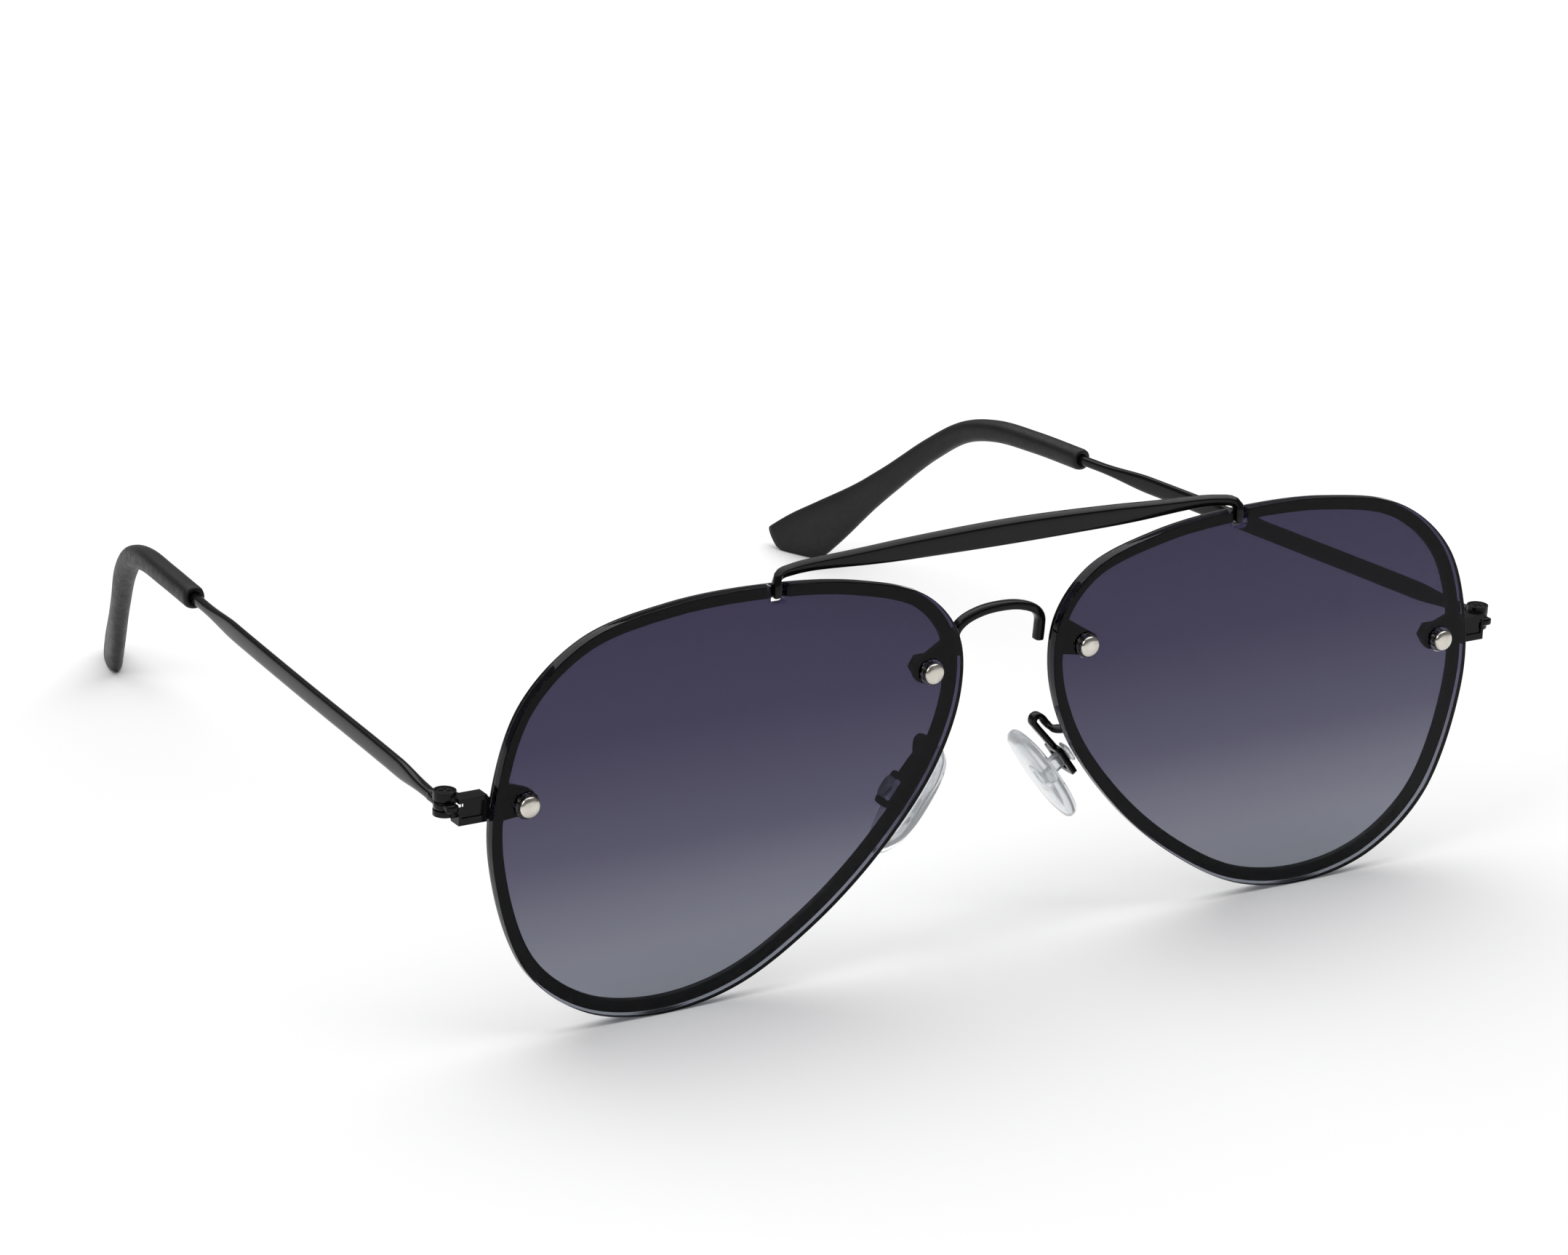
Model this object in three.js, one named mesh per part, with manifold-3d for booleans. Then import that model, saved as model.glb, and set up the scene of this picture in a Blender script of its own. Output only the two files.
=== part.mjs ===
// Aviator sunglasses with flat lenses set in front of thin metal rims.
// Millimetres, +Z up. The glasses stand open on a table: the lower lens edges and the ends of
// the temple tips touch Z = 0. -Y is the front, +X is the wearer's left, and the model is
// mirrored about X = 0. Depths called "back" are counted from FRAME_PLANE_Y, close behind the lenses.
import * as THREE from 'three';
import { mergeVertices } from 'three/addons/utils/BufferGeometryUtils.js';
import Module from 'manifold-3d';

// ---------------------------------------------------------------- driving dimensions
const FRAME_PLANE_Y = -63.8;     // where depths are counted from, which centres the whole on Y = 0
const LENS_FRONT = -1.8;
const LENS_BACK = -0.7;
const RIM_INSET = 0.25;          // the lens overhangs the rim by this much all round
const RIM_WIDTH = 1.55;          // width of the rim wire, seen from the front
const RIM_FRONT = LENS_BACK + 0.02;
const RIM_BACK = 0.2;

const STUDS = { temple: [61.8, 28.0], nose: [10.5, 35.2] };   // X and Z of the lens studs
const STUD_HEAD = { radius: 1.25, height: 0.75 };
const STUD_SHANK_RADIUS = 0.6;
const BUSHING = { flange: 1.55, sleeve: 1.0, bore: 0.75, flangeHeight: 0.3 };
const LENS_HOLE_RADIUS = 1.15;
const LUG_RADIUS = 1.7;
const NUT = { radius: 1.45, height: 1.1 };

const NOTCH = { x: 31.0, width: 1.9, floor: 46.4 };           // slot in the top edge of each lens

const HINGE = { x: 70.0, back: 1.7, top: 29.95, bottom: 27.15, radius: 1.3 };
const HINGE_GAP = { top: 28.92, bottom: 27.78 };              // where the temple's eye turns
const EYE = { top: 28.8, bottom: 27.9, radius: 1.25 };

const TIP_MOUTH_BACK = 76.5;     // where the plastic tip begins
const PAD_TILT = THREE.MathUtils.degToRad(36);                // pads follow the sides of the nose

// ---------------------------------------------------------------- materials
const metal = (color, roughness = 0.3) => new THREE.MeshStandardMaterial({ color, roughness, metalness: 0.6 });
const lacquer = metal(0x141416, 0.25);
const nickel = metal(0xc9c6c0, 0.25);
const plastic = new THREE.MeshStandardMaterial({ color: 0x202022, roughness: 0.6, metalness: 0 });
const clear = new THREE.MeshStandardMaterial({ color: 0xe8edf0, roughness: 0.15, transparent: true, opacity: 0.6 });
const tinted = new THREE.MeshStandardMaterial({ color: 0x4a4860, roughness: 0.05, transparent: true, opacity: 0.8 });

// ---------------------------------------------------------------- joining and cutting
const manifold = await Module();
manifold.setup();

function solid(geometry) {
  const bare = geometry.clone();
  bare.deleteAttribute('normal');
  bare.deleteAttribute('uv');
  const merged = mergeVertices(bare, 1e-5);
  return new manifold.Manifold(new manifold.Mesh({
    numProp: 3,
    vertProperties: new Float32Array(merged.attributes.position.array),
    triVerts: new Uint32Array(merged.index.array),
  }));
}

function join(geometries, cuts = []) {
  let body = solid(geometries[0]);
  for (const extra of geometries.slice(1)) {
    body = body.add(solid(extra));
  }
  for (const cut of cuts) {
    body = body.subtract(solid(cut));
  }
  const mesh = body.getMesh();
  const geometry = new THREE.BufferGeometry();
  geometry.setAttribute('position', new THREE.BufferAttribute(mesh.vertProperties, 3));
  geometry.setIndex(new THREE.BufferAttribute(mesh.triVerts, 1));
  geometry.computeVertexNormals();
  return geometry;
}

// ---------------------------------------------------------------- simple shapes
/** A box between two corners. */
function block(x0, x1, back0, back1, z0, z1) {
  const box = new THREE.BoxGeometry(x1 - x0, back1 - back0, z1 - z0);
  return box.translate((x0 + x1) / 2, (back0 + back1) / 2, (z0 + z1) / 2);
}

/** A round pin along Y, between two depths. */
function pinAlongY([x, z], radius, back0, back1, sides = 14) {
  const pin = new THREE.CylinderGeometry(radius, radius, back1 - back0, sides);
  return pin.translate(x, (back0 + back1) / 2, z);
}

/** A round pin along Z on the hinge axis. */
function pinOnHinge(radius, z0, z1, sides = 20) {
  const pin = new THREE.CylinderGeometry(radius, radius, z1 - z0, sides).rotateX(Math.PI / 2);
  return pin.translate(HINGE.x, HINGE.back, (z0 + z1) / 2);
}

/** A flat plate drawn in X and Z, between two depths. */
function plate(shape, back0, back1) {
  const slab = new THREE.ExtrudeGeometry(shape, { depth: back1 - back0, bevelEnabled: false });
  return slab.rotateX(Math.PI / 2).translate(0, back1, 0);
}

/**
 * A rod along a curve. Its section is a rounded oblong with half sizes [across, tall] that may
 * change on the way, and it stays upright: "tall" lies as near to the up direction as it can.
 */
function rod(points, section, { steps = 32, sides = 12, up = [0, 0, 1], squareness = 1 } = {}) {
  const curve = new THREE.CatmullRomCurve3(points.map(([x, y, z]) => new THREE.Vector3(x, y, z)));
  const geometry = new THREE.CylinderGeometry(1, 1, 1, sides, steps);
  const position = geometry.attributes.position;
  const upward = new THREE.Vector3(...up);
  const corner = (value) => Math.sign(value) * Math.abs(value) ** (1 / squareness);
  for (let i = 0; i < position.count; i += 1) {
    const along = THREE.MathUtils.clamp(0.5 - position.getY(i), 0, 1);
    const centre = curve.getPointAt(along);
    const tangent = curve.getTangentAt(along);
    const across = new THREE.Vector3().crossVectors(tangent, upward).normalize();
    const tall = new THREE.Vector3().crossVectors(across, tangent);
    const [halfAcross, halfTall] = section(along);
    centre.addScaledVector(across, corner(position.getX(i)) * halfAcross);
    centre.addScaledVector(tall, -corner(position.getZ(i)) * halfTall);
    position.setXYZ(i, centre.x, centre.y, centre.z);
  }
  return geometry;
}

/** Straight-line blend through [position, value] stops. */
function blend(stops, at) {
  const next = stops.findIndex(([position]) => position >= at);
  if (next === -1) {
    return stops.at(-1)[1];
  }
  if (next === 0) {
    return stops[0][1];
  }
  const [p0, v0] = stops[next - 1];
  const [p1, v1] = stops[next];
  return THREE.MathUtils.lerp(v0, v1, (at - p0) / (p1 - p0));
}

// ---------------------------------------------------------------- lens outline
// The aviator outline, anticlockwise from the temple side, as X and Z on the wearer's left.
const OUTLINE = [
  [65.7, 21.4], [65.4, 30.4], [62.2, 39.3], [55.0, 45.6], [44.0, 48.2], [31.0, 48.5], [20.0, 47.2],
  [11.2, 44.2], [6.9, 39.0], [6.3, 32.2], [9.2, 23.6], [16.2, 14.3], [25.0, 6.7], [34.5, 1.5],
  [44.5, 0.02], [54.0, 2.2], [61.5, 8.6],
];

function outline(inset, count) {
  const knots = OUTLINE.map(([x, z]) => new THREE.Vector3(x, z, 0));
  const curve = new THREE.CatmullRomCurve3(knots, true);
  const points = [];
  for (let i = 0; i < count; i += 1) {
    const point = curve.getPointAt(i / count);
    const tangent = curve.getTangentAt(i / count);
    points.push(new THREE.Vector2(point.x - tangent.y * inset, point.y + tangent.x * inset));
  }
  return points;
}

// ---------------------------------------------------------------- lens, rim and studs
function lens() {
  const slab = plate(new THREE.Shape(outline(0, 60)), LENS_FRONT, LENS_BACK);
  const holes = Object.values(STUDS).map((at) => pinAlongY(at, LENS_HOLE_RADIUS, -3, 1));
  const half = NOTCH.width / 2;
  const notch = block(NOTCH.x - half, NOTCH.x + half, -3, 1, NOTCH.floor, 52);
  return join([slab], [...holes, notch]);
}

function rim() {
  const ring = new THREE.Shape(outline(RIM_INSET, 60));
  ring.holes.push(new THREE.Path(outline(RIM_INSET + RIM_WIDTH, 60)));
  const lugs = [
    pinAlongY(STUDS.temple, LUG_RADIUS, RIM_FRONT, RIM_BACK),
    pinAlongY(STUDS.nose, LUG_RADIUS, RIM_FRONT, RIM_BACK),
    block(STUDS.temple[0], 64.6, RIM_FRONT, RIM_BACK, STUDS.temple[1] - 1.5, STUDS.temple[1] + 1.5),
    block(7.6, STUDS.nose[0], RIM_FRONT, RIM_BACK, STUDS.nose[1] - 1.5, STUDS.nose[1] + 1.5),
  ];
  const holes = Object.values(STUDS).map((at) => pinAlongY(at, 0.8, -1, 3));
  return join([plate(ring, RIM_FRONT, RIM_BACK), ...lugs], holes);
}

function stud(at) {
  const front = LENS_FRONT - BUSHING.flangeHeight - 0.02;
  const head = pinAlongY(at, STUD_HEAD.radius, front - STUD_HEAD.height, front, 18);
  const shank = pinAlongY(at, STUD_SHANK_RADIUS, front - 0.2, RIM_BACK + NUT.height + 0.15, 12);
  return join([head, shank]);
}

function bushing(at) {
  const flange = pinAlongY(at, BUSHING.flange, LENS_FRONT - BUSHING.flangeHeight, LENS_FRONT - 0.01);
  const sleeve = pinAlongY(at, BUSHING.sleeve, LENS_FRONT - 0.1, LENS_BACK - 0.02);
  return join([flange, sleeve], [pinAlongY(at, BUSHING.bore, -4, 1)]);
}

function nut(at) {
  const body = pinAlongY(at, NUT.radius, RIM_BACK + 0.02, RIM_BACK + NUT.height, 6);
  return join([body], [pinAlongY(at, STUD_SHANK_RADIUS + 0.1, 0, 5, 12)]);
}

// ---------------------------------------------------------------- brow bar and bridge
function browBar() {
  const end = [
    [26.5, -0.25, 49.7], [28.8, -0.4, 49.55], [30.3, -0.75, 49.4], [30.95, -1.15, 48.95],
    [31.0, -1.3, 48.2], [31.0, -1.3, 46.8],
  ];
  const route = [
    ...end.map(([x, y, z]) => [-x, y, z]).reverse(),
    [-18, -0.25, 49.7], [-8, -0.3, 49.85], [0, -0.3, 49.9], [8, -0.3, 49.85], [18, -0.25, 49.7],
    ...end,
  ];
  const height = [[0, 0.5], [0.1, 0.6], [0.3, 1.35], [0.5, 1.65], [0.7, 1.35], [0.9, 0.6], [1, 0.5]];
  const depth = [[0, 0.48], [0.1, 0.55], [0.5, 0.75], [0.9, 0.55], [1, 0.48]];
  return rod(route, (t) => [blend(depth, t), blend(height, t)], { steps: 36, sides: 10, up: [0, -1, 3], squareness: 1.5 });
}

function bridge() {
  const leg = [[5.7, 1.1, 35.6], [5.8, 1.1, 37.2], [5.7, 1.0, 38.5], [4.8, 0.8, 39.6]];
  const route = [
    ...leg.map(([x, y, z]) => [-x, y, z]),
    [-2.6, 0.7, 40.45], [0, 0.65, 40.7], [2.6, 0.7, 40.45],
    ...leg.toReversed(),
  ];
  return rod(route, () => [0.55, 0.7], { steps: 24, sides: 8, up: [0, 1, 0], squareness: 1.3 });
}

// ---------------------------------------------------------------- end piece, hinge and temple
function endPiece() {
  const body = block(65.95, 69.4, -0.5, 1.35, 26.4, 29.5);
  const root = block(65.72, 66.2, -0.6, 0.9, 26.7, 29.2);
  const upper = pinOnHinge(HINGE.radius, HINGE_GAP.top, HINGE.top);
  const lower = pinOnHinge(HINGE.radius, HINGE.bottom, HINGE_GAP.bottom);
  const arms = [
    block(68.5, HINGE.x, 0.2, 1.9, HINGE_GAP.top, 29.5),
    block(68.5, HINGE.x, 0.2, 1.9, HINGE.bottom, HINGE_GAP.bottom),
  ];
  const gap = pinOnHinge(2.35, HINGE_GAP.bottom, HINGE_GAP.top);
  const panel = block(66.35, 69.05, -0.7, -0.3, 27.2, 28.95);
  const bore = pinOnHinge(0.6, 20, 40, 16);
  const seat = pinOnHinge(1.02, 29.5, 40, 16);
  return join([body, root, upper, lower, ...arms], [gap, panel, bore, seat]);
}

function hingeScrew() {
  const head = pinOnHinge(0.95, 29.53, 29.9, 20);
  const shank = pinOnHinge(0.5, HINGE.bottom, 29.7, 16);
  const cross = [0, 1].map((turn) => {
    const slot = new THREE.BoxGeometry(1.3, 0.28, 0.4).rotateZ((turn * Math.PI) / 2 + 0.5);
    return slot.translate(HINGE.x, HINGE.back, 29.95);
  });
  return join([head, shank], cross);
}

const TEMPLE_ROUTE = [
  [70.25, 3.4, 28.5], [69.0, 18, 28.2], [67.2, 40, 27.6], [65.4, 60, 27.05], [64.0, 74, 26.65],
  [62.9, 86, 26.25],
];

function temple() {
  const eye = pinOnHinge(EYE.radius, EYE.bottom, EYE.top);
  const stop = block(HINGE.x - 0.75, HINGE.x + 0.75, HINGE.back - 2.1, HINGE.back, EYE.bottom, EYE.top);
  const neck = block(HINGE.x - 0.35, HINGE.x + 0.85, HINGE.back, 4.0, EYE.bottom, EYE.top);
  const thickness = [[0, 0.6], [0.05, 0.62], [0.12, 0.55], [0.75, 0.5], [0.85, 0.6], [1, 0.6]];
  const height = [[0, 0.6], [0.04, 0.65], [0.12, 1.15], [0.72, 1.15], [0.84, 0.62], [1, 0.6]];
  const strip = rod(TEMPLE_ROUTE, (t) => [blend(thickness, t), blend(height, t)], { steps: 26, sides: 10 });
  return join([eye, stop, neck, strip], [pinOnHinge(0.62, 20, 40, 16)]);
}

const TIP_ROUTE = [
  [63.8, TIP_MOUTH_BACK, 26.55], [62.9, 86, 26.25], [61.9, 94, 25.6], [60.9, 100, 23.8],
  [59.4, 105.5, 20.0], [57.0, 112, 14.0], [54.3, 119, 7.5], [51.6, 126, 1.3], [50.8, 128, -0.5],
];

function templeTip() {
  const thickness = [[0, 1.35], [0.45, 1.4], [0.7, 1.2], [1, 1.15]];
  const width = [[0, 1.4], [0.4, 1.55], [0.6, 1.7], [0.8, 2.7], [0.93, 4.0], [1, 4.2]];
  const sleeve = rod(TIP_ROUTE, (t) => [blend(thickness, t), blend(width, t)], { steps: 24, sides: 10, squareness: 1.1 });
  const bore = rod(TEMPLE_ROUTE.slice(-2).concat([[62.7, 88, 26.15]]), () => [0.75, 0.75], { steps: 4, sides: 10 });
  const mouth = rod([TIP_ROUTE[0], [63.65, 78.2, 26.5]], () => [1.05, 1.05], { steps: 1, sides: 10 });
  const floorCut = new THREE.BoxGeometry(40, 60, 20).translate(52, 124, -10);
  return join([sleeve], [bore, mouth, floorCut]);
}

// ---------------------------------------------------------------- nose pads
// Pad pieces are made around the origin with the pad face at local -X, the long way on local Z,
// then tilted and moved to the pad pivot.
const PAD_PIVOT = [11.6, 3.5, 19.4];

function placePad(geometry) {
  return geometry.rotateY(-PAD_TILT).translate(...PAD_PIVOT);
}

function nosePad() {
  const face = new THREE.Shape();
  face.moveTo(-2.0, 6.0);
  face.bezierCurveTo(0.5, 8.4, 3.4, 6.2, 3.5, 2.2);
  face.bezierCurveTo(3.6, -2.4, 2.6, -7.0, 0.2, -7.2);
  face.bezierCurveTo(-2.4, -7.4, -3.3, -4.0, -3.3, -0.4);
  face.bezierCurveTo(-3.3, 2.4, -3.1, 4.9, -2.0, 6.0);
  const pad = new THREE.ExtrudeGeometry(face, {
    depth: 0.8, bevelThickness: 0.5, bevelSize: 0.5, bevelOffset: -0.5, bevelSegments: 2, curveSegments: 7,
  });
  pad.rotateX(Math.PI / 2).rotateZ(Math.PI / 2).translate(-3.2, 0, 0);
  const stem = new THREE.BoxGeometry(3.2, 1.1, 1.9).translate(-0.6, 0, 0);
  const button = new THREE.BoxGeometry(0.7, 1.9, 2.6).translate(1.05, 0, 0);
  return placePad(join([pad, stem, button]));
}

function padArm() {
  const tongue = new THREE.BoxGeometry(0.7, 3.0, 4.2);
  const slot = new THREE.BoxGeometry(2, 1.7, 2.5);
  const holder = placePad(join([tongue], [slot]));
  const top = new THREE.Vector3(0, 0, 2.0).applyAxisAngle(new THREE.Vector3(0, 1, 0), -PAD_TILT);
  const route = [
    [10.15, 0.98, 24.15], [9.6, 1.6, 23.95], [9.2, 2.3, 23.95], [8.85, 3.0, 24.35], [8.45, 3.45, 24.95],
    [8.0, 3.6, 25.2], [7.5, 3.6, 25.0], [7.4, 3.6, 24.5], [7.8, 3.6, 23.95], [9.2, 3.6, 22.4],
    [PAD_PIVOT[0] + top.x, 3.5, PAD_PIVOT[2] + top.z],
  ];
  const ribbon = rod(route, () => [0.36, 0.6], { steps: 34, sides: 8, up: [0, 1, 0], squareness: 1.5 });
  return join([ribbon, holder]);
}

// ---------------------------------------------------------------- the glasses
const glasses = new THREE.Group();
glasses.position.y = FRAME_PLANE_Y;

/** The mirror image of a piece, with its faces turned back to point out. */
function mirrored(geometry) {
  const copy = geometry.clone().scale(-1, 1, 1);
  const flat = copy.index ? copy.toNonIndexed() : copy;
  const position = flat.attributes.position;
  for (let i = 0; i < position.count; i += 3) {
    const [x, y, z] = [position.getX(i), position.getY(i), position.getZ(i)];
    position.setXYZ(i, position.getX(i + 1), position.getY(i + 1), position.getZ(i + 1));
    position.setXYZ(i + 1, x, y, z);
  }
  flat.deleteAttribute('normal');
  flat.deleteAttribute('uv');
  return mergeVertices(flat, 1e-5);
}

function add(name, geometry, material) {
  const mesh = new THREE.Mesh(geometry, material.clone());
  mesh.name = name;
  glasses.add(mesh);
}

function addPair(name, geometry, material) {
  add(`${name}_left`, geometry, material);
  add(`${name}_right`, mirrored(geometry), material);
}

addPair('lens', lens(), tinted);
addPair('rim', rim(), lacquer);
add('brow_bar', browBar(), lacquer);
add('bridge', bridge(), lacquer);
for (const [place, at] of Object.entries(STUDS)) {
  addPair(`${place}_lens_stud`, stud(at), nickel);
  addPair(`${place}_lens_bushing`, bushing(at), clear);
  addPair(`${place}_stud_nut`, nut(at), lacquer);
}
addPair('end_piece', endPiece(), lacquer);
addPair('hinge_screw', hingeScrew(), lacquer);
addPair('temple', temple(), lacquer);
addPair('temple_tip', templeTip(), plastic);
addPair('pad_arm', padArm(), lacquer);
addPair('nose_pad', nosePad(), clear);

export default glasses;
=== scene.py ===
"""Aviator sunglasses: the looks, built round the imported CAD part.

Shapes are written in millimetres in the same measures as the CAD source, for the wearer's left
half (+X), with depths counted back from FRAME_PLANE_Y. The other half is mirrored.
"""

import math

import bmesh
import bpy
import numpy as np
from mathutils import Matrix, Vector


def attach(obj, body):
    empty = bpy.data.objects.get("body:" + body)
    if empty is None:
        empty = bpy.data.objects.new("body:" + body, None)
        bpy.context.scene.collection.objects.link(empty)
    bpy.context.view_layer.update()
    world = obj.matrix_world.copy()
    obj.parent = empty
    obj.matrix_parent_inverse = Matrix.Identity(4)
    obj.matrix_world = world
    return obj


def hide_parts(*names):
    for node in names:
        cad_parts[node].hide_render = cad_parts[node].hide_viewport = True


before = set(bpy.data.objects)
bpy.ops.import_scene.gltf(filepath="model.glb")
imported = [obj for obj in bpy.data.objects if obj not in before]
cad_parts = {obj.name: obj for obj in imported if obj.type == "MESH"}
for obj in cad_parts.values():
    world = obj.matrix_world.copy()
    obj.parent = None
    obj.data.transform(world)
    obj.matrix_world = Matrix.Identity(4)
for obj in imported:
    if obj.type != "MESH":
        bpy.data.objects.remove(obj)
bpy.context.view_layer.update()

# ------------------------------------------------------------------ driving dimensions (mm)
MM = 0.001
FRAME_PLANE_Y = -63.8  # where depths are counted from
LENS_FRONT, LENS_BACK = -1.8, -0.7
RIM_INSET = 0.25
RIM_WIDTH = 1.55
RIM_FRONT, RIM_BACK = -0.67, 0.2
STUDS = {"temple": (61.8, 28.0), "nose": (10.5, 35.2)}
LENS_HOLE_RADIUS = 1.15
LUG_RADIUS, LUG_FILLET, LUG_HOLE_RADIUS = 1.7, 1.4, 0.8
STUD_HEAD_RADIUS, STUD_HEAD_HEIGHT, STUD_SHANK_RADIUS = 1.25, 0.75, 0.6
COLLAR_HEIGHT, COLLAR_BORE, COLLAR_SLEEVE = 0.3, 0.75, 1.0
NUT_RADIUS, NUT_HOLE_RADIUS, NUT_BACK = 1.45, 0.7, RIM_BACK + 1.1
NOTCH_X, NOTCH_HALF, NOTCH_FLOOR, NOTCH_CORNER = 31.0, 0.95, 46.4, 0.4
HINGE_X, HINGE_BACK = 70.0, 1.7
PAD_PIVOT = (11.6, 3.5, 19.4)
PAD_TILT = math.radians(36)
LENS_CENTRE = np.array([36.0, 25.0])
OUTLINE = [
    (65.7, 21.4), (65.4, 30.4), (62.2, 39.3), (55.0, 45.6), (44.0, 48.2), (31.0, 48.5), (20.0, 47.2),
    (11.2, 44.2), (6.9, 39.0), (6.3, 32.2), (9.2, 23.6), (16.2, 14.3), (25.0, 6.7), (34.5, 1.5),
    (44.5, 0.02), (54.0, 2.2), (61.5, 8.6),
]


# ------------------------------------------------------------------ curves
def curve(knots, count, closed=False):
    """Evenly spaced points on the centripetal Catmull-Rom curve through the knots."""
    p = np.array(knots, float)
    if closed:
        p = np.vstack([p[-1], p, p[0], p[1]])
    else:
        p = np.vstack([2 * p[0] - p[1], p, 2 * p[-1] - p[-2]])
    fine = []
    for a, b, c, d in zip(p[:-3], p[1:-2], p[2:-1], p[3:]):
        before, here, after = (np.linalg.norm(v) ** 0.5 for v in (b - a, c - b, d - c))
        start = ((b - a) / before - (c - a) / (before + here) + (c - b) / here) * here
        end = ((c - b) / here - (d - b) / (here + after) + (d - c) / after) * here
        t = np.linspace(0, 1, 41)[:-1, None]
        fine.append(
            (2 * t**3 - 3 * t**2 + 1) * b + (t**3 - 2 * t**2 + t) * start
            + (3 * t**2 - 2 * t**3) * c + (t**3 - t**2) * end
        )
    fine = np.vstack([*fine, p[-2]])
    travelled = np.append(0, np.cumsum(np.linalg.norm(np.diff(fine, axis=0), axis=1)))
    wanted = np.linspace(0, travelled[-1], count, endpoint=not closed)
    return np.stack([np.interp(wanted, travelled, axis) for axis in fine.T], 1)


def inset(loop, distance):
    """The closed loop moved inward, for a loop that runs anticlockwise."""
    along = np.roll(loop, -1, axis=0) - np.roll(loop, 1, axis=0)
    along /= np.linalg.norm(along, axis=1)[:, None]
    return loop + np.stack([-along[:, 1], along[:, 0]], 1) * distance


def circle(centre, radius, count=40):
    turn = np.linspace(0, 2 * math.pi, count, endpoint=False)
    return np.array(centre) + radius * np.stack([np.cos(turn), np.sin(turn)], 1)


# ------------------------------------------------------------------ meshes
class Shape:
    """Vertices in mm and faces, gathered from one or more closed bodies."""

    def __init__(self):
        self.points, self.faces = [], []

    def add(self, points, faces):
        start = len(self.points)
        self.points.extend(tuple(map(float, p)) for p in points)
        self.faces.extend([start + i for i in face] for face in faces)
        return self

    def rings(self, rings, cap=True):
        """Skins a stack of equal rings; a cap closes each end with a fan."""
        count, width = len(rings), len(rings[0])
        points = [p for ring in rings for p in ring]
        faces = []
        for k in range(count - 1):
            low, high = k * width, (k + 1) * width
            for i in range(width):
                j = (i + 1) % width
                faces.append((low + i, low + j, high + j, high + i))
        if cap:
            points += [np.mean(rings[0], axis=0), np.mean(rings[-1], axis=0)]
            first, last = count * width, count * width + 1
            faces += [(first, (i + 1) % width, i) for i in range(width)]
            top = (count - 1) * width
            faces += [(last, top + i, top + (i + 1) % width) for i in range(width)]
        return self.add(points, faces)

    def loop_of_rings(self, rings):
        """Skins rings whose last one meets the first, as round a hole."""
        return self.rings([*rings, rings[0]], cap=False)


def moved(points, matrix):
    return [tuple(matrix @ Vector(p)) for p in points]


END_ANGLES = (0.35, 0.8, 1.2)  # where rings stand on the rounding of a rod's end, in radians
NEARBY = 0.004  # share of a rod's length over which its direction is taken


def squared(value, squareness):
    """Pushes a sine or cosine outward, so that a round section turns toward a square one."""
    return np.sign(value) * np.abs(value) ** (1 / squareness)


def rod_stations(length, steps, ends):
    """Where a rod's rings stand, as shares of its length, each with its size next to the full one."""
    if ends == 0:
        return [(s, 1.0) for s in np.linspace(0, 1, steps)]
    rounding = [(ends * (1 - math.cos(a)) / length, math.sin(a)) for a in END_ANGLES]
    middle = [(s, 1.0) for s in np.linspace(ends / length, 1 - ends / length, steps)]
    return rounding + middle + [(1 - s, size) for s, size in reversed(rounding)]


def rod(knots, section, steps, sides, up=(0, 0, 1), squareness=1.0, ends=0.5):
    """Rings along a curve: half sizes (across, tall) by the share of its length, with eased ends."""
    path = curve(knots, 400)
    travel = np.linspace(0, 1, 400)
    length = np.linalg.norm(np.diff(path, axis=0), axis=1).sum()
    turn = np.linspace(0, 2 * math.pi, sides, endpoint=False)
    sides_of_ring = [(squared(math.cos(a), squareness), squared(math.sin(a), squareness)) for a in turn]
    rings = []
    for share, size in rod_stations(length, steps, ends):
        centre = np.array([np.interp(share, travel, axis) for axis in path.T])
        ahead = np.array([np.interp(min(share + NEARBY, 1), travel, axis) for axis in path.T])
        behind = np.array([np.interp(max(share - NEARBY, 0), travel, axis) for axis in path.T])
        tangent = (ahead - behind) / np.linalg.norm(ahead - behind)
        across = np.cross(tangent, up)
        across /= np.linalg.norm(across)
        tall = np.cross(across, tangent)
        half_across, half_tall = section(share)
        rings.append([
            centre + across * u * half_across * size + tall * v * half_tall * size
            for u, v in sides_of_ring
        ])
    return [ring[::-1] for ring in rings]


def blend(stops, at):
    """Value at a place between stops, on a monotone cubic so that there is no kink or ripple."""
    x, y = (np.array(row, float) for row in zip(*stops))
    rise = np.diff(y) / np.diff(x)
    slope = np.zeros(len(x))
    for i in range(1, len(x) - 1):
        if rise[i - 1] * rise[i] > 0:
            slope[i] = 2 * rise[i - 1] * rise[i] / (rise[i - 1] + rise[i])
    k = int(np.clip(np.searchsorted(x, at) - 1, 0, len(x) - 2))
    width = x[k + 1] - x[k]
    t = float(np.clip((at - x[k]) / width, 0, 1))
    return float(
        (2 * t**3 - 3 * t**2 + 1) * y[k] + (t**3 - 2 * t**2 + t) * slope[k] * width
        + (3 * t**2 - 2 * t**3) * y[k + 1] + (t**3 - t**2) * slope[k + 1] * width
    )


def even(half_across, half_tall):
    """A section that stays the same all along a rod."""
    return lambda t: (half_across, half_tall)


def lathe(profile, centre, direction, sides=48):
    """Rings of (radius, distance along the direction) turned about a line."""
    axis = Vector(direction).normalized()
    side = axis.orthogonal().normalized()
    other = axis.cross(side)
    turn = np.linspace(0, 2 * math.pi, sides, endpoint=False)
    return [
        [tuple(Vector(centre) + axis * z + (side * math.cos(a) + other * math.sin(a)) * r) for a in turn]
        for r, z in profile
    ]


def area(loop):
    """Signed area, positive for a loop that runs anticlockwise."""
    x, z = loop.T
    return 0.5 * np.sum(x * np.roll(z, -1) - z * np.roll(x, -1))


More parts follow.
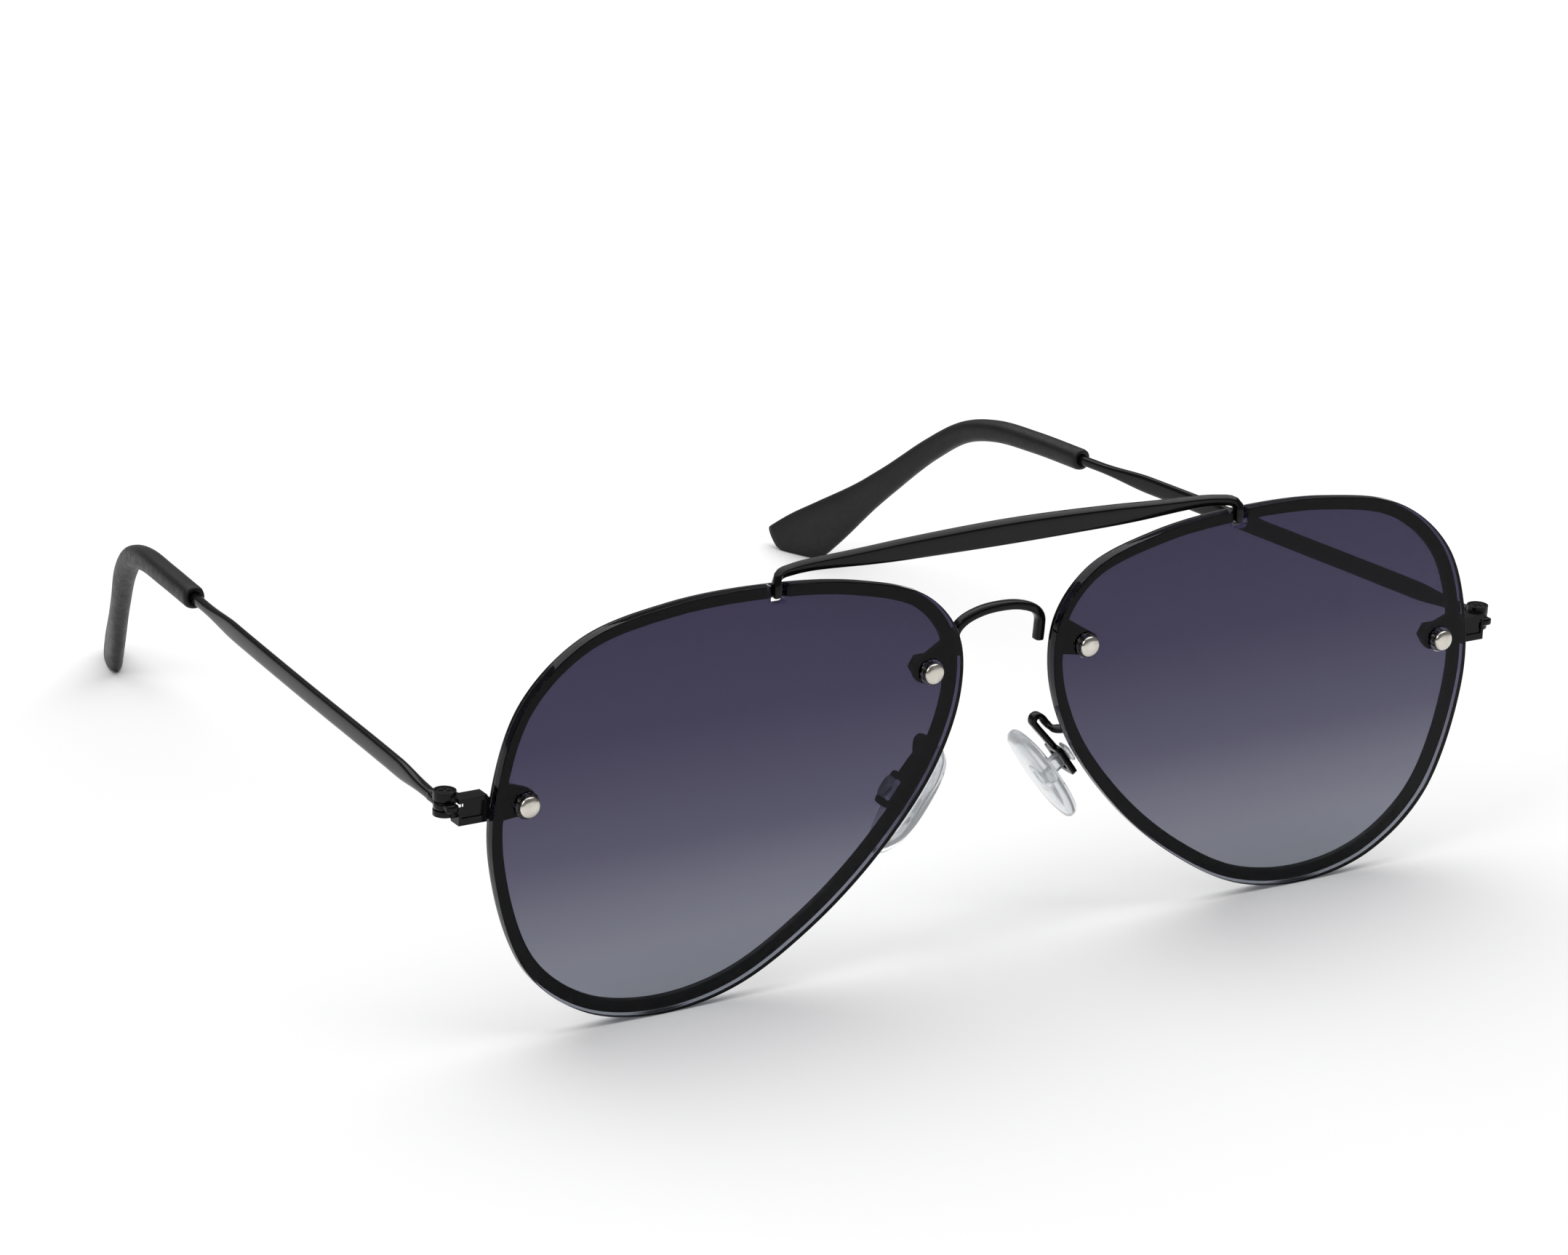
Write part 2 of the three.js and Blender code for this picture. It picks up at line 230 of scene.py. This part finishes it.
def plate(shape, loops, back0, back1, bevel):
    """A flat plate in X and Z with eased edges. The first loop is its edge, the others are holes."""
    bm = bmesh.new()
    steps = 3
    arc = [i * math.pi / 2 / steps for i in range(steps + 1)]
    rows = [(bevel * (1 - math.sin(a)), back0 + bevel * (1 - math.cos(a))) for a in arc]
    rows += [(d, back0 + back1 - y) for d, y in reversed(rows)]
    fronts, backs = [], []
    for loop in loops:
        anticlockwise = loop if area(loop) > 0 else loop[::-1]
        is_edge = loop is loops[0]
        rings = []
        for distance, back in rows:
            at = inset(anticlockwise, distance if is_edge else -distance)
            ring = [bm.verts.new((x, back, z)) for x, z in at]
            rings.append(ring if is_edge else ring[::-1])
        count = len(loop)
        for low, high in zip(rings, rings[1:]):
            for i in range(count):
                j = (i + 1) % count
                bm.faces.new((low[i], low[j], high[j], high[i]))
        for ring, edges in ((rings[0], fronts), (rings[-1], backs)):
            edges += [bm.edges.get((ring[i], ring[(i + 1) % count])) for i in range(count)]
    for edges, normal in ((fronts, (0, -1, 0)), (backs, (0, 1, 0))):
        bmesh.ops.triangle_fill(bm, use_beauty=True, edges=edges, normal=normal)
    bmesh.ops.recalc_face_normals(bm, faces=bm.faces)
    bm.verts.index_update()
    shape.add([v.co[:] for v in bm.verts], [[v.index for v in f.verts] for f in bm.faces])
    bm.free()
    return shape


def piece(name, shape, material, body, nodes=(), side=1):
    """Makes the object, places it in the row frame, ties it to its body and hides the CAD nodes it stands
    for.
    """
    mesh = bpy.data.meshes.new(name)
    points = [(side * x * MM, (y + FRAME_PLANE_Y) * MM, z * MM) for x, y, z in shape.points]
    faces = [face[::-1] if side < 0 else face for face in shape.faces]
    mesh.from_pydata(points, [], faces)
    bm = bmesh.new()
    bm.from_mesh(mesh)
    bmesh.ops.remove_doubles(bm, verts=bm.verts, dist=1e-7)
    bmesh.ops.recalc_face_normals(bm, faces=bm.faces)
    bm.to_mesh(mesh)
    bm.free()
    mesh.validate()
    mesh.shade_smooth()
    obj = bpy.data.objects.new(name, mesh)
    bpy.context.scene.collection.objects.link(obj)
    mesh.materials.append(material)
    weighted = obj.modifiers.new("weighted normals", "WEIGHTED_NORMAL")
    weighted.weight = 80
    weighted.keep_sharp = True
    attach(obj, body)
    if nodes:
        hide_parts(*nodes)


def pair(name, make, material, body="front", nodes=None, **options):
    """One shape made for the left side and mirrored for the right."""
    for word, side in (("left", 1), ("right", -1)):
        where = body if body == "front" else f"{body}_{word}_body"
        stands_for = [f"{node}_{word}" for node in (nodes if nodes is not None else [name])]
        piece(f"{name}_{word}_shown", make(**options), material, where, stands_for, side)


# ------------------------------------------------------------------ materials
def nodes_of(name, slot):
    material = bpy.data.materials.new(name)
    material.use_nodes = True
    material["slot"] = slot
    tree = material.node_tree
    return material, tree, tree.nodes["Principled BSDF"]


def noise(tree, scale):
    """Fine mottling that is fixed to the piece."""
    place = tree.nodes.new("ShaderNodeTexCoord")
    texture = tree.nodes.new("ShaderNodeTexNoise")
    texture.inputs["Scale"].default_value = scale
    texture.inputs["Detail"].default_value = 3.0
    tree.links.new(place.outputs["Object"], texture.inputs["Vector"])
    return texture.outputs["Fac"]


def ramp(tree, source, stops, target):
    """Feeds a colour ramp of (position, colour or value) from source into a shader input."""
    node = tree.nodes.new("ShaderNodeValToRGB")
    ladder = node.color_ramp
    while len(ladder.elements) < len(stops):
        ladder.elements.new(0.5)
    for element, (position, value) in zip(ladder.elements, stops):
        element.position = position
        element.color = (*value, 1) if isinstance(value, tuple) else (value, value, value, 1)
    tree.links.new(source, node.inputs["Fac"])
    tree.links.new(node.outputs["Color"], target)


def bump(tree, shader, source, distance, strength):
    node = tree.nodes.new("ShaderNodeBump")
    node.inputs["Distance"].default_value = distance
    node.inputs["Strength"].default_value = strength
    tree.links.new(source, node.inputs["Height"])
    tree.links.new(node.outputs["Normal"], shader.inputs["Normal"])


def lacquer():
    material, tree, shader = nodes_of("black_lacquer", "black_lacquered_metal")
    black = [(0.3, (0.0028, 0.0026, 0.003)), (0.7, (0.0048, 0.0045, 0.0048))]
    ramp(tree, noise(tree, 260), black, shader.inputs["Base Color"])
    ramp(tree, noise(tree, 900), [(0.3, 0.13), (0.7, 0.24)], shader.inputs["Roughness"])
    shader.inputs["Specular IOR Level"].default_value = 0.13
    shader.inputs["Coat Weight"].default_value = 0.1
    shader.inputs["Coat Roughness"].default_value = 0.05
    bump(tree, shader, noise(tree, 500), 0.00002, 0.5)
    return material


def satin_plastic():
    material, tree, shader = nodes_of("satin_black_plastic", "satin_black_plastic")
    black = [(0.3, (0.004, 0.004, 0.0044)), (0.7, (0.007, 0.0069, 0.0075))]
    ramp(tree, noise(tree, 300), black, shader.inputs["Base Color"])
    ramp(tree, noise(tree, 1200), [(0.3, 0.42), (0.7, 0.56)], shader.inputs["Roughness"])
    shader.inputs["Specular IOR Level"].default_value = 0.3
    bump(tree, shader, noise(tree, 2600), 0.00003, 0.6)
    return material


def nickel():
    material, tree, shader = nodes_of("polished_nickel", "polished_nickel")
    shader.inputs["Metallic"].default_value = 1.0
    pale = [(0.3, (0.56, 0.53, 0.47)), (0.7, (0.7, 0.67, 0.61))]
    ramp(tree, noise(tree, 700), pale, shader.inputs["Base Color"])
    ramp(tree, noise(tree, 1600), [(0.35, 0.14), (0.65, 0.3)], shader.inputs["Roughness"])
    bump(tree, shader, noise(tree, 1500), 0.00003, 0.5)
    return material


def clear(name, roughness, clarity):
    material, tree, shader = nodes_of(name, name)
    shader.inputs["Transmission Weight"].default_value = clarity
    shader.inputs["IOR"].default_value = 1.42
    bluish = [(0.3, (0.88, 0.91, 0.94)), (0.7, (0.94, 0.955, 0.97))]
    ramp(tree, noise(tree, 220), bluish, shader.inputs["Base Color"])
    shader.inputs["Roughness"].default_value = roughness
    bump(tree, shader, noise(tree, 350), 0.00003, 0.6)
    return material


def tinted_lens():
    """Coated lens: pale blue-grey at the bottom, dark violet-grey at the top."""
    material, tree, shader = nodes_of("tinted_lens", "tinted_lens")
    shader.inputs["Transmission Weight"].default_value = 1.0
    shader.inputs["IOR"].default_value = 1.22
    shader.inputs["Specular IOR Level"].default_value = 0.25
    place = tree.nodes.new("ShaderNodeTexCoord")
    split = tree.nodes.new("ShaderNodeSeparateXYZ")
    tree.links.new(place.outputs["Generated"], split.inputs["Vector"])
    tint = [
        (0.0, (0.25, 0.27, 0.31)), (0.18, (0.195, 0.2, 0.245)), (0.42, (0.09, 0.085, 0.133)),
        (0.7, (0.048, 0.042, 0.082)), (1.0, (0.036, 0.03, 0.064)),
    ]
    ramp(tree, split.outputs["Z"], tint, shader.inputs["Base Color"])
    shader.inputs["Roughness"].default_value = 0.0
    return material


LACQUER = lacquer()
SATIN = satin_plastic()
NICKEL = nickel()
CLEAR_PLASTIC = clear("clear_plastic", roughness=0.04, clarity=1.0)
SILICONE = clear("clear_silicone", roughness=0.06, clarity=0.78)
TINT = tinted_lens()


# ------------------------------------------------------------------ lenses and rims
def lens():
    edge = curve(OUTLINE, 260, closed=True)
    near = (np.abs(edge[:, 0] - NOTCH_X) < NOTCH_HALF) & (edge[:, 1] > LENS_CENTRE[1])
    first = int(np.argmax(near))
    top = float(edge[near][:, 1].mean())
    pivot_x, pivot_z = NOTCH_X + NOTCH_HALF - NOTCH_CORNER, NOTCH_FLOOR + NOTCH_CORNER
    turn = np.linspace(0, math.pi / 2, 5)
    right = [(pivot_x + NOTCH_CORNER * math.cos(a), pivot_z - NOTCH_CORNER * math.sin(a)) for a in turn]
    left = [(2 * NOTCH_X - x, z) for x, z in reversed(right)]
    notch = [(NOTCH_X + NOTCH_HALF, top), *right, *left, (NOTCH_X - NOTCH_HALF, top)]
    edge = np.vstack([edge[:first], notch, edge[first + int(near.sum()):]])
    holes = [circle(at, LENS_HOLE_RADIUS) for at in STUDS.values()]
    return plate(Shape(), [edge, *holes], LENS_FRONT, LENS_BACK, 0.12)


def rim_inner_edge(count=420):
    """Inner edge of the rim band, bulging round each lug with soft fillets."""
    outer = curve(OUTLINE, 400, closed=True)
    step = 0.08
    reach = np.arange(8.0, 42.0, step)
    loop = []
    for turn in np.linspace(0, 2 * math.pi, count, endpoint=False):
        way = np.array([math.cos(turn), math.sin(turn)])
        points = LENS_CENTRE + reach[:, None] * way
        gap = np.linalg.norm(points[:, None] - outer[None], axis=2).min(1)
        inside = gap - RIM_INSET - RIM_WIDTH
        for lug in STUDS.values():
            other = np.linalg.norm(points - np.array(lug), axis=1) - LUG_RADIUS
            mix = np.maximum(LUG_FILLET - np.abs(inside - other), 0) / LUG_FILLET
            inside = np.minimum(inside, other) - mix * mix * LUG_FILLET / 4
        k = int(np.argmax(inside < 0))
        share = inside[k - 1] / (inside[k - 1] - inside[k])
        loop.append(LENS_CENTRE + (reach[k - 1] + share * step) * way)
    return np.array(loop)


def rim():
    outer = inset(curve(OUTLINE, 260, closed=True), RIM_INSET)
    holes = [circle(at, LUG_HOLE_RADIUS, 24) for at in STUDS.values()]
    return plate(Shape(), [outer, rim_inner_edge(), *holes], RIM_FRONT, RIM_BACK, 0.2)


def stud(at):
    """Domed head in front of the lens, and a shank that ends behind the nut."""
    x, z = at
    front = LENS_FRONT - COLLAR_HEIGHT - 0.02
    face = front - STUD_HEAD_HEIGHT
    tail = NUT_BACK + 0.15
    profile = [
        (0.0, face), (0.5, face + 0.015), (0.85, face + 0.07), (1.05, face + 0.14), (1.18, face + 0.24),
        (STUD_HEAD_RADIUS, face + 0.38), (STUD_HEAD_RADIUS, front - 0.06), (STUD_HEAD_RADIUS - 0.06, front),
        (STUD_SHANK_RADIUS, front), (STUD_SHANK_RADIUS, tail - 0.1), (STUD_SHANK_RADIUS - 0.1, tail),
        (0.0, tail),
    ]
    return Shape().rings(lathe(profile, (x, 0, z), (0, 1, 0)), cap=False)


def bushing(at):
    """Clear collar: a flange in front of the lens and a sleeve through its hole."""
    x, z = at
    front, tail = LENS_FRONT - COLLAR_HEIGHT, LENS_BACK - 0.03
    profile = [
        (COLLAR_BORE, front), (1.35, front), (1.5, front + 0.06), (1.55, front + 0.15), (1.52, front + 0.29),
        (COLLAR_SLEEVE, front + 0.29), (COLLAR_SLEEVE, tail), (COLLAR_BORE, tail),
    ]
    return Shape().loop_of_rings(lathe(profile, (x, 0, z), (0, 1, 0)))


def nut(at):
    loops = [circle(at, NUT_RADIUS, 6), circle(at, NUT_HOLE_RADIUS, 24)]
    return plate(Shape(), loops, RIM_BACK + 0.03, NUT_BACK, 0.12)


pair("lens", lens, TINT)
pair("rim", rim, LACQUER)
for place, at in STUDS.items():
    pair(f"{place}_lens_stud", stud, NICKEL, at=at)
    pair(f"{place}_lens_bushing", bushing, CLEAR_PLASTIC, at=at)
    pair(f"{place}_stud_nut", nut, LACQUER, at=at)


# ------------------------------------------------------------------ brow bar and bridge
def both_ways(half, middle):
    """A route mirrored about X = 0: the half route runs from the middle outward."""
    return [(-x, y, z) for x, y, z in reversed(half)] + middle + list(half)


def brow_bar():
    half = [
        (8, -0.3, 49.85), (18, -0.25, 49.7), (26.5, -0.25, 49.7), (28.8, -0.4, 49.55), (30.3, -0.75, 49.4),
        (30.95, -1.15, 48.95), (31.0, -1.3, 48.2), (31.0, -1.3, 46.8),
    ]
    tall = [(0, 0.5), (0.1, 0.6), (0.3, 1.3), (0.5, 1.55), (0.7, 1.3), (0.9, 0.6), (1, 0.5)]
    deep = [(0, 0.48), (0.1, 0.55), (0.5, 0.75), (0.9, 0.55), (1, 0.48)]

    def section(t):
        return blend(deep, t), blend(tall, t)

    route = both_ways(half, [(0, -0.3, 49.9)])
    return Shape().rings(rod(route, section, 120, 32, up=(0, -1, 3), squareness=2.4, ends=0.35))


def bridge():
    half = [(2.6, 0.7, 40.45), (4.8, 0.8, 39.6), (5.7, 1.0, 38.5), (5.8, 1.1, 37.2), (5.7, 1.1, 35.6)]
    route = both_ways(half, [(0, 0.65, 40.7)])
    return Shape().rings(rod(route, even(0.55, 0.7), 70, 20, up=(0, 1, 0), squareness=1.5, ends=0.2))


piece("brow_bar_shown", brow_bar(), LACQUER, "front", ["brow_bar"])
piece("bridge_shown", bridge(), LACQUER, "front", ["bridge"])


# ------------------------------------------------------------------ end pieces and hinges
def refined(node, material, body, width):
    """A copy of a CAD node with its coplanar facets merged and its edges eased."""
    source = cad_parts[node]
    mesh = source.data.copy()
    mesh.name = f"{node}_shown"
    bm = bmesh.new()
    bm.from_mesh(mesh)
    bmesh.ops.remove_doubles(bm, verts=bm.verts, dist=2e-6)
    bmesh.ops.dissolve_limit(bm, angle_limit=math.radians(1.5), verts=bm.verts, edges=bm.edges)
    bm.to_mesh(mesh)
    bm.free()
    mesh.shade_smooth()
    mesh.materials.clear()
    mesh.materials.append(material)
    obj = bpy.data.objects.new(mesh.name, mesh)
    bpy.context.scene.collection.objects.link(obj)
    ease = obj.modifiers.new("eased edges", "BEVEL")
    ease.width = width * MM
    ease.segments = 3
    ease.limit_method = "ANGLE"
    ease.angle_limit = math.radians(35)
    weighted = obj.modifiers.new("weighted normals", "WEIGHTED_NORMAL")
    weighted.keep_sharp = True
    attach(obj, body)
    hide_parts(node)


for word in ("left", "right"):
    refined(f"end_piece_{word}", LACQUER, "front", 0.1)
    refined(f"hinge_screw_{word}", LACQUER, "front", 0.04)


# ------------------------------------------------------------------ temples and tips
TEMPLE_ROUTE = [
    (70.25, 3.4, 28.5), (69.0, 18, 28.2), (67.2, 40, 27.6), (65.4, 60, 27.05), (64.0, 74, 26.65),
    (62.9, 86, 26.25),
]
TIP_ROUTE = [
    (63.8, 76.5, 26.55), (62.9, 86, 26.25), (61.9, 94, 25.6), (60.9, 100, 23.8), (59.4, 105.5, 20.0),
    (57.0, 112, 14.0), (54.3, 119, 7.5), (51.6, 126, 1.3), (50.8, 128, -0.5),
]


def temple():
    """Flattened strip with wire ends, the hinge eye, its stop tab and the neck between them."""
    thickness = [(0, 0.6), (0.05, 0.62), (0.12, 0.55), (0.75, 0.5), (0.85, 0.6), (1, 0.6)]
    height = [(0, 0.6), (0.04, 0.65), (0.12, 1.15), (0.72, 1.15), (0.84, 0.62), (1, 0.6)]

    def strip(t):
        return blend(thickness, t), blend(height, t)

    eye = [
        (0.62, 27.94), (0.66, 27.9), (1.19, 27.9), (1.25, 27.96), (1.25, 28.74), (1.19, 28.8), (0.66, 28.8),
        (0.62, 28.76),
    ]
    stop = [(HINGE_X, 0.9, 28.35), (HINGE_X, 0.2, 28.35), (HINGE_X, -0.4, 28.35)]
    neck = [(70.25, 2.6, 28.35), (70.25, 3.2, 28.4), (70.22, 4.4, 28.47)]
    shape = Shape()
    shape.rings(rod(TEMPLE_ROUTE, strip, 90, 20, squareness=1.4, ends=0.3))
    shape.loop_of_rings(lathe(eye, (HINGE_X, HINGE_BACK, 0), (0, 0, 1)))
    shape.rings(rod(stop, even(0.75, 0.45), 6, 20, squareness=2.5, ends=0.25))
    shape.rings(rod(neck, lambda t: (0.6, 0.45 + 0.15 * t), 6, 20, squareness=1.6, ends=0.1))
    return shape


def temple_tip():
    """Sleeve with a hollow mouth round the wire, bent down and widened to a paddle on the floor."""
    thickness = [(0, 1.35), (0.45, 1.4), (0.7, 1.2), (1, 1.15)]
    width = [(0, 1.4), (0.4, 1.5), (0.55, 1.62), (0.7, 2.1), (0.85, 3.3), (0.95, 4.0), (1, 4.1)]

    def paddle(t):
        return blend(thickness, t), blend(width, t)

    rings = rod(TIP_ROUTE, paddle, 110, 36, squareness=1.15, ends=0)
    start = np.array(rings[0])
    middle = start.mean(0)
    inward = np.array(TIP_ROUTE[1]) - np.array(TIP_ROUTE[0])
    inward = inward / np.linalg.norm(inward)
    mouth = [(0.45, 1.6), (0.45, 0.25), (0.62, 0.04), (0.8, 0.0), (0.93, 0.1)]
    lip = [middle + (start - middle) * size + inward * depth for size, depth in mouth]
    shape = Shape().rings([*[ring.tolist() for ring in lip], *rings[1:]])
    shape.points = [(x, y, rest_on_floor(z)) for x, y, z in shape.points]
    return shape


def rest_on_floor(z):
    """Flattens what would pass below the floor, with a soft edge."""
    return 0.5 * (z + math.sqrt(z * z + 0.5)) if z < 12 else z


pair("temple", temple, LACQUER, "temple")
pair("temple_tip", temple_tip, SATIN, "temple")


# ------------------------------------------------------------------ nose pads
PAD_PLACE = Matrix.Translation(PAD_PIVOT) @ Matrix.Rotation(-PAD_TILT, 4, "Y")
PAD_EDGE = [
    (-2.0, 6.0), (0.6, 7.1), (2.8, 5.4), (3.5, 2.2), (3.2, -2.6), (2.0, -6.2), (0.2, -7.2), (-2.0, -5.6),
    (-3.1, -2.8), (-3.3, 0.4), (-2.9, 4.0),
]


def along_pad_axis(low, high):
    """A straight route through the pad's middle."""
    return [(low, 0, 0), ((low + high) / 2, 0, 0), (high, 0, 0)]


def on_pad(rings):
    return [moved(ring, PAD_PLACE) for ring in rings]


def nose_pad():
    """Cushioned D-shaped plate, with a stem and a button that passes through the arm's slot."""
    edge = curve(PAD_EDGE, 64, closed=True)
    middle = edge.mean(0)
    profile = [
        (0.0, -3.82), (0.3, -3.8), (0.6, -3.72), (0.82, -3.6), (0.94, -3.42), (0.99, -3.15), (1.0, -2.85),
        (0.99, -2.5), (0.94, -2.2), (0.82, -2.02), (0.6, -1.94), (0.3, -1.92), (0.0, -1.92),
    ]
    rings = [[(x, *(middle + (p - middle) * size)) for p in edge] for size, x in profile]
    shape = Shape().rings(on_pad(rings), cap=False)
    shape.rings(on_pad(rod(along_pad_axis(-2.3, 0.75), even(0.55, 0.95), 8, 24, squareness=2.5, ends=0)))
    shape.rings(on_pad(rod(along_pad_axis(0.72, 1.4), even(0.95, 1.3), 6, 28, squareness=1.8, ends=0.3)))
    return shape


def pad_stiffener():
    strip = rod(along_pad_axis(-3.05, -2.45), even(0.5, 2.1), 5, 24, squareness=3, ends=0.1)
    return Shape().rings(on_pad(strip))


def pad_arm():
    """Gooseneck ribbon from behind the rim to the slotted plate that holds the pad's button."""
    top = PAD_PLACE @ Vector((0, 0, 2.0))
    route = [
        (10.15, 0.98, 24.15), (9.6, 1.6, 23.95), (9.2, 2.3, 23.95), (8.85, 3.0, 24.35), (8.45, 3.45, 24.95),
        (8.0, 3.6, 25.2), (7.5, 3.6, 25.0), (7.4, 3.6, 24.5), (7.8, 3.6, 23.95), (9.2, 3.6, 22.4), tuple(top),
    ]
    shape = Shape().rings(rod(route, even(0.38, 0.62), 90, 20, up=(0, 1, 0), squareness=1.8, ends=0.2))
    edge = [
        (1.5, 0.8), (1.5, 1.9), (1.1, 2.1), (-1.1, 2.1), (-1.5, 1.9), (-1.5, 0.8), (-1.5, -1.9), (-1.1, -2.1),
        (1.1, -2.1), (1.5, -1.9),
    ]
    slot = [
        (0.85, 0.5), (0.85, 1.1), (0.7, 1.25), (-0.7, 1.25), (-0.85, 1.1), (-0.85, 0.5), (-0.85, -1.1),
        (-0.7, -1.25), (0.7, -1.25), (0.85, -1.1),
    ]
    loops = [curve(knots, 48, closed=True) for knots in (edge, slot)]
    flat = plate(Shape(), loops, -0.35, 0.35, 0.08)
    turned = Matrix.Rotation(math.pi / 2, 4, "Z")
    shape.add(moved(flat.points, PAD_PLACE @ turned), flat.faces)
    return shape


pair("nose_pad", nose_pad, SILICONE, "pad")
pair("pad_stiffener", pad_stiffener, CLEAR_PLASTIC, "pad", nodes=[])
pair("pad_arm", pad_arm, LACQUER)


# ------------------------------------------------------------------ floor, light and camera
CAMERA_PLACE = (-0.32995, -0.54329, 0.24677)
CAMERA_AZIMUTH, CAMERA_ELEVATION, CAMERA_ROLL = (math.radians(a) for a in (-32.11, 19.82, 2.45))
CAMERA_LENS, CAMERA_SENSOR = 125.74, 36
FLOOR_REACH = 6.0


def floor():
    bm = bmesh.new()
    bmesh.ops.create_grid(bm, x_segments=2, y_segments=2, size=FLOOR_REACH)
    mesh = bpy.data.meshes.new("floor")
    bm.to_mesh(mesh)
    bm.free()
    material = bpy.data.materials.new("pale_floor")
    material.use_nodes = True
    shader = material.node_tree.nodes["Principled BSDF"]
    shader.inputs["Base Color"].default_value = (0.93, 0.93, 0.93, 1)
    shader.inputs["Roughness"].default_value = 0.8
    shader.inputs["Specular IOR Level"].default_value = 0.1
    mesh.materials.append(material)
    obj = bpy.data.objects.new("floor", mesh)
    bpy.context.scene.collection.objects.link(obj)


def area_light(name, place, target, size, power):
    data = bpy.data.lights.new(name, "AREA")
    data.shape = "RECTANGLE"
    data.size, data.size_y = size
    data.energy = power
    obj = bpy.data.objects.new(name, data)
    obj.location = place
    obj.rotation_euler = (Vector(target) - Vector(place)).to_track_quat("-Z", "Y").to_euler()
    bpy.context.scene.collection.objects.link(obj)


def camera():
    data = bpy.data.cameras.new("camera")
    data.sensor_width = CAMERA_SENSOR
    data.lens = CAMERA_LENS
    data.clip_start, data.clip_end = 0.01, 30
    obj = bpy.data.objects.new("camera", data)
    level = math.cos(CAMERA_ELEVATION)
    back = Vector((
        math.sin(CAMERA_AZIMUTH) * level,
        -math.cos(CAMERA_AZIMUTH) * level,
        math.sin(CAMERA_ELEVATION),
    ))
    turn = back.to_track_quat("Z", "Y").to_matrix() @ Matrix.Rotation(CAMERA_ROLL, 3, "Z")
    obj.matrix_world = Matrix.Translation(CAMERA_PLACE) @ turn.to_4x4()
    bpy.context.scene.collection.objects.link(obj)
    bpy.context.scene.camera = obj


def studio():
    world = bpy.data.worlds.new("studio")
    world.use_nodes = True
    background = world.node_tree.nodes["Background"]
    background.inputs["Color"].default_value = (1, 1, 1, 1)
    background.inputs["Strength"].default_value = 0.19
    bpy.context.scene.world = world


floor()
studio()
area_light("overhead", (0.15, 0.35, 1.2), (0, 0.1, 0), (2.4, 2.0), 27.0)
area_light("left_front", (-1.1, -0.3, 0.9), (0, 0, 0.03), (0.6, 0.6), 4.2)
camera()
bpy.context.scene.view_settings.view_transform = "Standard"
